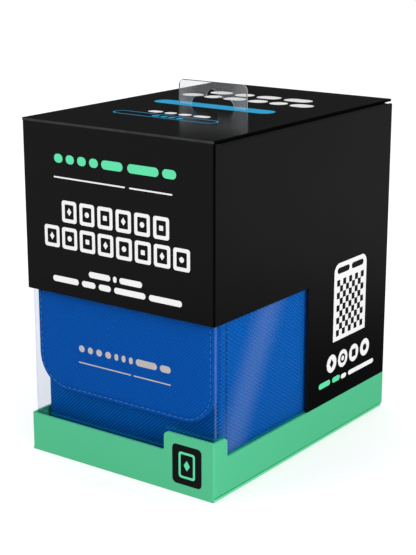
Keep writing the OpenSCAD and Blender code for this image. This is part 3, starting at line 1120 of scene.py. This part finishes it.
def body_outline(inset):
    """Plan of the body's walls, counter-clockwise from the front left, with the seams' grooves."""
    west, east = body_low.x + inset, body_high.x - inset
    south, north = body_low.y + inset, body_high.y - inset
    radius = max(BODY_CORNER - inset, BODY_INNER_CORNER)
    groove = [(along * MM, deep * MM if inset == 0 else 0.0) for along, deep in GROOVE]

    def corner(cx, cy, start):
        steps = [start + 0.5 * math.pi * i / ARC_STEPS for i in range(ARC_STEPS + 1)]
        return [(cx + radius * math.cos(a), cy + radius * math.sin(a)) for a in steps]

    points = corner(west + radius, south + radius, math.pi)
    points += corner(east - radius, south + radius, 1.5 * math.pi)
    points += [(east - deep, side_at + along) for along, deep in groove]
    points += corner(east - radius, north - radius, 0.0)
    points += corner(west + radius, north - radius, 0.5 * math.pi)
    points += [(west + deep, side_at - along) for along, deep in groove]
    return points


print("body outline has", len(body_outline(0)), "points")

# %% Body
WALL = 1.0 * MM
FOOT_ROLL, LIP_ROLL = 0.6 * MM, 0.4 * MM
SEAM_END = 2 * MM

body_rings = []
for inset, height in (
    (FOOT_ROLL, body_low.z),
    (0, body_low.z + FOOT_ROLL),
    (0, body_high.z - LIP_ROLL),
    (LIP_ROLL, body_high.z),
    (WALL, body_high.z),
    (WALL, body_low.z + WALL),
):
    body_rings.append([Vector((x, y, height)) for x, y in body_outline(inset)])
body = ring_mesh("body_skin", body_rings)
put_material(body, body_leatherette_painted_shade)
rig.ride(body, "case_box")
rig.replaces(body, "case_cover")
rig.slot(body, "leatherette")

seam_ends = body_low.z + SEAM_END, body_high.z - SEAM_END
body_paths = [[(side * body_high.x, side_at, z) for z in seam_ends] for side in (-1, 1)]
body_thread = stitches("body_thread", body_paths, [(-1, 0, 0), (1, 0, 0)], shaded_thread)
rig.ride(body_thread, "case_box")
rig.replaces(body_thread, "case_stitching")
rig.slot(body_thread, "thread")

# %% [markdown]
# ## Case lid
# The lid is a covered panel that faces up. Its seam runs all the way round.

# %% Lid
lid_low, lid_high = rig.box("case_lid_cover")
LID_THICK = lid_high.z - lid_low.z
LID_CORNERS = (BODY_CORNER,) * 4
STRIP_BEVEL = 0.25 * MM


def on_lid(a, b, depth):
    return Vector((a, b, lid_high.z - depth))


lid_sides = (lid_low.x, lid_low.y), (lid_high.x, lid_high.y)
case_lid = covered_panel("case_lid_skin", *lid_sides, LID_CORNERS, LID_THICK, on_lid)
put_material(case_lid, leatherette)
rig.ride(case_lid, "case_top")
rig.replaces(case_lid, "case_lid_cover", "case_lid_lining")
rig.slot(case_lid, "leatherette")
lid_seam = rounded_outline(*lid_sides, LID_CORNERS, SEAM_INSET)
lid_path = [on_lid(a, b, 0) for a, b in lid_seam + lid_seam[:1]]
lid_thread = stitches("case_lid_thread", [lid_path], [(0, 0, 1)], pale_thread)
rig.ride(lid_thread, "case_top")
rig.slot(lid_thread, "thread")
for name in ("case_hinge_strip", "flap_fold_strip"):
    put_material(nodes[name], leatherette)
    round_edges(nodes[name], STRIP_BEVEL, 2)

# %% [markdown]
# ## Inks
# The carton's print is a thin layer of ink. Here each printed shape is a thin
# flat piece that stands just proud of the board. The motifs are plain bars,
# discs and small card shapes.

# %% Ink materials
INK_ROUGH, INK_SPECULAR = 0.42, 0.3
INK_DRIFT = 0.25
INK_LOW, INK_HIGH = 0.93, 1.05
INK_RELIEF, INK_DEPTH = 0.12, 0.05 * MM


def ink_material(name, ink):
    material, tree, shader = new_material(name)
    low, high = shade(ink, INK_LOW), shade(ink, INK_HIGH)
    colour, height = fibre_colour(tree, INK_DRIFT, low, high)
    look = {"Base Color": colour, "Roughness": INK_ROUGH, "Specular IOR Level": INK_SPECULAR}
    fill(tree, shader, look)
    emboss(tree, shader, height, INK_RELIEF, INK_DEPTH)
    return material


INKS = {
    "white": ink_material("ink_white", linear(236, 236, 236)),
    "mint": ink_material("ink_mint", linear(92, 222, 166)),
    "cyan": ink_material("ink_cyan", linear(34, 168, 218)),
    "black": ink_material("ink_black", linear(22, 22, 23)),
}
print(len(INKS), "inks")

# %% Printed shapes
INK_LIFT = 0.03 * MM
INK_ARC = 8


def bar(cx, cy, width, height, radius=None):
    """Outline of a rounded bar about its centre."""
    radius = min(width, height) / 2 if radius is None else radius
    points = []
    for qx, qy, start in ((1, 1, 0.0), (-1, 1, 0.5), (-1, -1, 1.0), (1, -1, 1.5)):
        for step in range(INK_ARC + 1):
            angle = math.pi * (start + 0.5 * step / INK_ARC)
            px = cx + qx * (width / 2 - radius) + radius * math.cos(angle)
            py = cy + qy * (height / 2 - radius) + radius * math.sin(angle)
            points.append((px, py))
    return points


def disc(cx, cy, radius):
    count = 4 * (INK_ARC + 1)
    turns = [2 * math.pi * i / count for i in range(count)]
    return [(cx + radius * math.cos(t), cy + radius * math.sin(t)) for t in turns]


def diamond(cx, cy, width, height):
    half_w, half_h = width / 2, height / 2
    return [(cx + half_w, cy), (cx, cy + half_h), (cx - half_w, cy), (cx, cy - half_h)]


def box_shape(left, low, right, high):
    return [(left, low), (right, low), (right, high), (left, high)]


def bars(*rows):
    """Rows of bars. Each row is (left end, level, lengths, height, gap)."""
    shapes = []
    for left, level, lengths, height, gap in rows:
        for length in lengths:
            shapes.append(bar(left + length / 2, level, length, height))
            left += length + gap
    return shapes


print("printed shapes ready")

# %% Print builder
# half the carton's width, half its depth and its height, in millimetres
HALF_W, HALF_D, HEIGHT = 53.5, 75.0, 160.0


def ink_piece(name, shapes, place, ink, body, level=1):
    """Flat shapes as one thin mesh. A shape is an outline, or (outline, hole) for a frame."""
    form = bmesh.new()

    def points(outline):
        return [form.verts.new(place(a, b, INK_LIFT * level)) for a, b in outline]

    for shape in shapes:
        if isinstance(shape[0][0], (int, float)):
            form.faces.new(points(shape))
            continue
        outer, inner = points(shape[0]), points(shape[1])
        for i in range(len(outer)):
            j = (i + 1) % len(outer)
            form.faces.new((outer[i], outer[j], inner[j], inner[i]))
    piece = mesh_piece(name, form, solid=False)
    put_material(piece, ink)
    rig.ride(piece, body)


def on_front(a, b, lift):
    """a runs from the front's left edge and b up from the underside, in millimetres."""
    return Vector(((a - HALF_W) * MM, -HALF_D * MM - lift, b * MM))


def on_side(a, b, lift):
    """a runs back from the right side's front edge and b up, in millimetres."""
    return Vector((HALF_W * MM + lift, (a - HALF_D) * MM, b * MM))


def on_top(a, b, lift):
    """a runs from the lid's left edge and b back from its front edge, in millimetres."""
    return Vector(((a - HALF_W) * MM, (b - HALF_D) * MM, HEIGHT * MM + lift))


print("print builder ready")

# %% [markdown]
# ## Cut edges and painted shade
# The print doesn't reach the cut edges of the board. Dull, dark strips run along
# the sides of the lid, where the cut edge is painted darker as the shade in the
# gap beside it, and round the upright front folds, where they are painted shade.
# Gloss would turn both grey, so each is a strip of its own with a finish that
# doesn't shine, and the strips on the folds follow their round.

# %% Cut edges and painted shade
LID_HALF_W, LID_FRONT, LID_BACK = 53.2, 0.1 - HALF_D, 73.4
LID_LOW, LID_TOP = 158.8, HEIGHT - 0.05
WINDOW_TOP = 80.5
FOLD_RADIUS = 1.2
FOLD_FROM, FOLD_TO, FOLD_STEPS = math.radians(20), math.radians(70), 6

# Matte near-black for the strips: painted shade, laid over the real cut edge on the lid's sides.
shaded_edge, cut_tree, cut_shader = new_material("board_shaded_edge")
cut_colour, _ = fibre_colour(cut_tree, 1.0, linear(2, 2, 2), linear(10, 10, 10))
cut_look = {"Base Color": cut_colour, "Roughness": 1.0, "Specular IOR Level": 0.0}
fill(cut_tree, cut_shader, cut_look)


def lid_side(side):
    """Places a strip on a side of the lid; a is Y and b is Z."""
    return lambda a, b, lift: Vector((side * (LID_HALF_W * MM + lift), a * MM, b * MM))


def round_fold(side):
    """Places a strip round an upright front fold; a is the angle from the front and b is Z."""

    def place(a, b, lift):
        reach = FOLD_RADIUS * MM + lift
        x = (HALF_W - FOLD_RADIUS) * MM + reach * math.sin(a)
        y = (FOLD_RADIUS - HALF_D) * MM - reach * math.cos(a)
        return Vector((side * x, y, b * MM))

    return place


fold_turns = [
    FOLD_FROM + (FOLD_TO - FOLD_FROM) * step / FOLD_STEPS for step in range(FOLD_STEPS + 1)
]
fold_shapes = [box_shape(a, WINDOW_TOP, b, LID_LOW) for a, b in zip(fold_turns, fold_turns[1:])]
lid_edge = box_shape(LID_FRONT, LID_LOW, LID_BACK, LID_TOP)
# Strips on the lid's sides and round the front folds, all painted shade.
for word, side in (("right", 1), ("left", -1)):
    ink_piece("lid_shaded_edge_" + word, [lid_edge], lid_side(side), shaded_edge, "lid")
    ink_piece("fold_shade_" + word, fold_shapes, round_fold(side), shaded_edge, "carton")
print("cut edges on the lid and the front folds")

# %% [markdown]
# ## Bending creases
# A carton is folded from one sheet, and the CAD frame cuts that sheet at each
# moving crease. A thin quarter-round strip of the same black board bridges each
# cut inside the two panels, and it bends as they swing apart.

# %% Bending strip
CREASE_SKIN = 0.15 * MM
CREASE_FOOT = 0.5 * MM
CREASE_STEPS = 8
CREASE_END = 0.3 * MM


def crease_strip(name, place, radius, low, high, bodies):
    """A strip round a crease. place turns its section (a, b) and its length c into a point."""
    turns = [0.5 * math.pi * step / CREASE_STEPS for step in range(CREASE_STEPS + 1)]
    section = []
    for size, order in ((radius, 1), (radius - CREASE_SKIN, -1)):
        arc = [(size, -CREASE_FOOT)] + [(size * math.cos(t), size * math.sin(t)) for t in turns]
        section += arc[::order]
    ends = (low + CREASE_END, high - CREASE_END)
    strip = ring_mesh(name, [[place(a, b, c) for a, b in section] for c in ends])
    put_material(strip, nodes["lid_tuck_flap"].data.materials[0])
    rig.blend(strip, *bodies, place(radius, 0, 0), place(0, radius, 0))


def on_crease(crease, side_x, side_y):
    """Places a strip about a crease. The side that isn't 0 says which way its a points."""
    if side_x:
        return lambda a, b, c: Vector((side_x * (crease.x + a), c, crease.z + b))
    return lambda a, b, c: Vector((c, crease.y + side_y * a, crease.z + b))


print("bending strip ready")

# %% Bending creases
FRONT_CREASE = Vector((0, -73.6, 158.6)) * MM
TUCK_CREASE = Vector((0, 71.9, 158.6)) * MM
DUST_CREASE = Vector((52.3, 0, 157.2)) * MM
CREASE_RADIUS, DUST_RADIUS = 1.2 * MM, 1.0 * MM

low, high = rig.box("carton_lid")
along_front = on_crease(FRONT_CREASE, 0, -1)
crease_strip("lid_crease", along_front, CREASE_RADIUS, low.x, high.x, ("carton", "lid"))
low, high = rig.box("lid_tuck_flap")
along_back = on_crease(TUCK_CREASE, 0, 1)
crease_strip("tuck_crease", along_back, CREASE_RADIUS, low.x, high.x, ("lid_tuck", "lid"))
for word, side in (("right", 1), ("left", -1)):
    low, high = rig.box("lid_dust_flap_" + word)
    along_side = on_crease(DUST_CREASE, side, 0)
    bodies = ("carton", "dust_" + word)
    crease_strip("dust_crease_" + word, along_side, DUST_RADIUS, low.y, high.y, bodies)
print("four bending creases")

# %% [markdown]
# ## Print
# The numbers below are millimetres on each face, and they give every shape its
# place and size. Small cards have a frame and a plain pip, which takes turns
# between a diamond, a disc and a square.

# %% Front print
TILE_CORNER, TILE_FRAME, TILE_INNER_CORNER = 1.3, 3.4, 0.5


def card_tiles(left, level, count, width, height, gap):
    """A row of small cards, each a frame with a plain pip in it."""
    shapes = []
    for i in range(count):
        cx = left + width / 2 + i * (width + gap)
        outer = bar(cx, level, width, height, TILE_CORNER)
        inner = bar(cx, level, width - TILE_FRAME, height - TILE_FRAME, TILE_INNER_CORNER)
        shapes.append((outer, inner))
        pip = (diamond(cx, level, 2.6, 3.6), disc(cx, level, 1.25), bar(cx, level, 2.2, 2.2, 0.3))
        shapes.append(pip[i % 3])
    return shapes


front_white = card_tiles(22.8, 119.8, 6, 8.6, 10.0, 1.8)
front_white += card_tiles(12.0, 107.5, 8, 8.9, 10.0, 1.6)
front_white += bars(
    (18.5, 135.0, (41, 23.3), 0.7, 2.4),
    (37.8, 92.7, (12.5, 2.0, 12.8), 2.8, 1.6),
    (16.3, 87.8, (15.4, 8, 7, 17.7, 18), 2.8, 1.9),
)
front_mint = bars(
    (19.0, 143.6, (5, 4.8, 5, 5, 12), 4.0, 1.9),
    (61.0, 143.6, (17, 7.4), 4.0, 1.9),
)
ink_piece("front_print_white", front_white, on_front, INKS["white"], "carton")
ink_piece("front_print_mint", front_mint, on_front, INKS["mint"], "carton")
print("front print", len(front_white) + len(front_mint), "shapes")

# %% Side print: label and discs
LABEL_LEFT, LABEL_RIGHT, LABEL_LOW, LABEL_HIGH = 98.0, 128.5, 47.8, 86.6
LABEL_CORNER = 4.5
DISC_LEVEL, DISC_RADIUS = 37.3, 4.5
DISC_PLACES = (97.3, 107.8, 118.4, 129.2)

label = [(LABEL_LEFT, LABEL_LOW), (LABEL_RIGHT, LABEL_LOW)]
for cx, start in ((LABEL_RIGHT - LABEL_CORNER, 0.0), (LABEL_LEFT + LABEL_CORNER, 0.5)):
    for step in range(INK_ARC + 1):
        angle = math.pi * (start + 0.5 * step / INK_ARC)
        up = LABEL_HIGH - LABEL_CORNER + LABEL_CORNER * math.sin(angle)
        label.append((cx + LABEL_CORNER * math.cos(angle), up))
side_white = [label] + [disc(a, DISC_LEVEL, DISC_RADIUS) for a in DISC_PLACES]
side_white += bars((106.5, 27.9, (5, 24.9), 2.4, 2.0))
side_mint = bars((85.8, 28.3, (10.5, 7.1), 2.8, 2.0))
ink_piece("side_print_white", side_white, on_side, INKS["white"], "carton")
ink_piece("side_print_mint", side_mint, on_side, INKS["mint"], "carton")
print("label, discs and bars")

# %% Side print: checks and pips
CHECK_COUNT, CHECK_LEFT, CHECK_LOW = 9, 100.6, 50.0
CHECK_W, CHECK_H, CHECK_CORNER = 2.82, 3.14, 0.05

checks = []
for row in range(CHECK_COUNT):
    for column in range(CHECK_COUNT):
        if (row + column) % 2 == 0:
            cx = CHECK_LEFT + CHECK_W * (column + 0.5)
            cy = CHECK_LOW + CHECK_H * (row + 0.5)
            checks.append(bar(cx, cy, CHECK_W, CHECK_H, CHECK_CORNER))
checks += bars((100.8, 82.8, (11.3, 11.3), 3.0, 2.0))
first, second, third, fourth = [(a, DISC_LEVEL) for a in DISC_PLACES]
pips = [diamond(*first, 3.6, 4.8), (disc(*second, 2.4), disc(*second, 1.3))]
pips += [bar(*third, 3.8, 3.8, 0.5), disc(*fourth, 1.8)]
ink_piece("side_print_black", checks + pips, on_side, INKS["black"], "carton", level=2)
print("side print", len(checks), "checks")

# %% Lid and corner print
PILL, CORNER_CARD = (51.5, 38.6), (92.2, 13.9)

lid_cyan = [bar(51.2, 76.5, 68.0, 10.5, 5.2)]
lid_cyan.append((bar(*PILL, 58.0, 8.4, 4.2), bar(*PILL, 56.6, 7.0, 3.5)))
lid_cyan += bars((44.7, 38.2, (4.0, 3.4, 3.4, 3.4), 3.2, 1.0))
lid_white = bars(
    (35.0, 48.3, (7.5, 6, 6.5, 8.5), 5.0, 2.0),
    (14.5, 102.5, (11, 9, 12, 10, 9, 12), 9.0, 2.5),
    (22.0, 116.0, (12, 10, 13, 15), 9.0, 3.0),
)
ink_piece("lid_print_cyan", lid_cyan, on_top, INKS["cyan"], "lid")
ink_piece("lid_print_white", lid_white, on_top, INKS["white"], "lid")

corner_plate = [bar(*CORNER_CARD, 16.1, 18.7, 2.2)]
corner_inner = [(bar(*CORNER_CARD, 9.0, 12.4, 1.4), bar(*CORNER_CARD, 6.8, 10.2, 0.8))]
corner_inner.append(diamond(*CORNER_CARD, 3.4, 5.0))
ink_piece("corner_print_black", corner_plate, on_front, INKS["black"], "carton")
ink_piece("corner_print_mint", corner_inner, on_front, INKS["mint"], "carton", level=2)
print("lid and corner print made")

# %% Foil on the flap
foil, foil_tree, foil_shader = new_material("pale_foil")
foil_look = {"Base Color": linear(226, 216, 205), "Metallic": 0.1, "Roughness": 0.35}
fill(foil_tree, foil_shader, foil_look)


def on_flap_face(a, b, lift):
    return Vector(((a - HALF_W) * MM, flap_low.y - SWELL - lift, b * MM))


foil_shapes = bars(
    (27.8, 55.1, (3.4, 3.0, 3.4, 3.4), 3.2, 2.0),
    (49.0, 55.1, (2.2, 2.2, 2.2), 3.2, 2.0),
    (61.3, 55.1, (12.0, 6.0), 3.2, 1.7),
    (27.5, 48.3, (31, 21.0), 0.6, 1.5),
)
ink_piece("flap_foil", foil_shapes, on_flap_face, foil, "case_flap")
print("foil made")

# %% Sizes and finish
visual_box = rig.bounds()
sizes = {"cad": [list(v) for v in cad_box], "visual": [list(v) for v in visual_box]}
with open("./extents.json", "w") as record:
    json.dump(sizes, record)
print("boxes written")
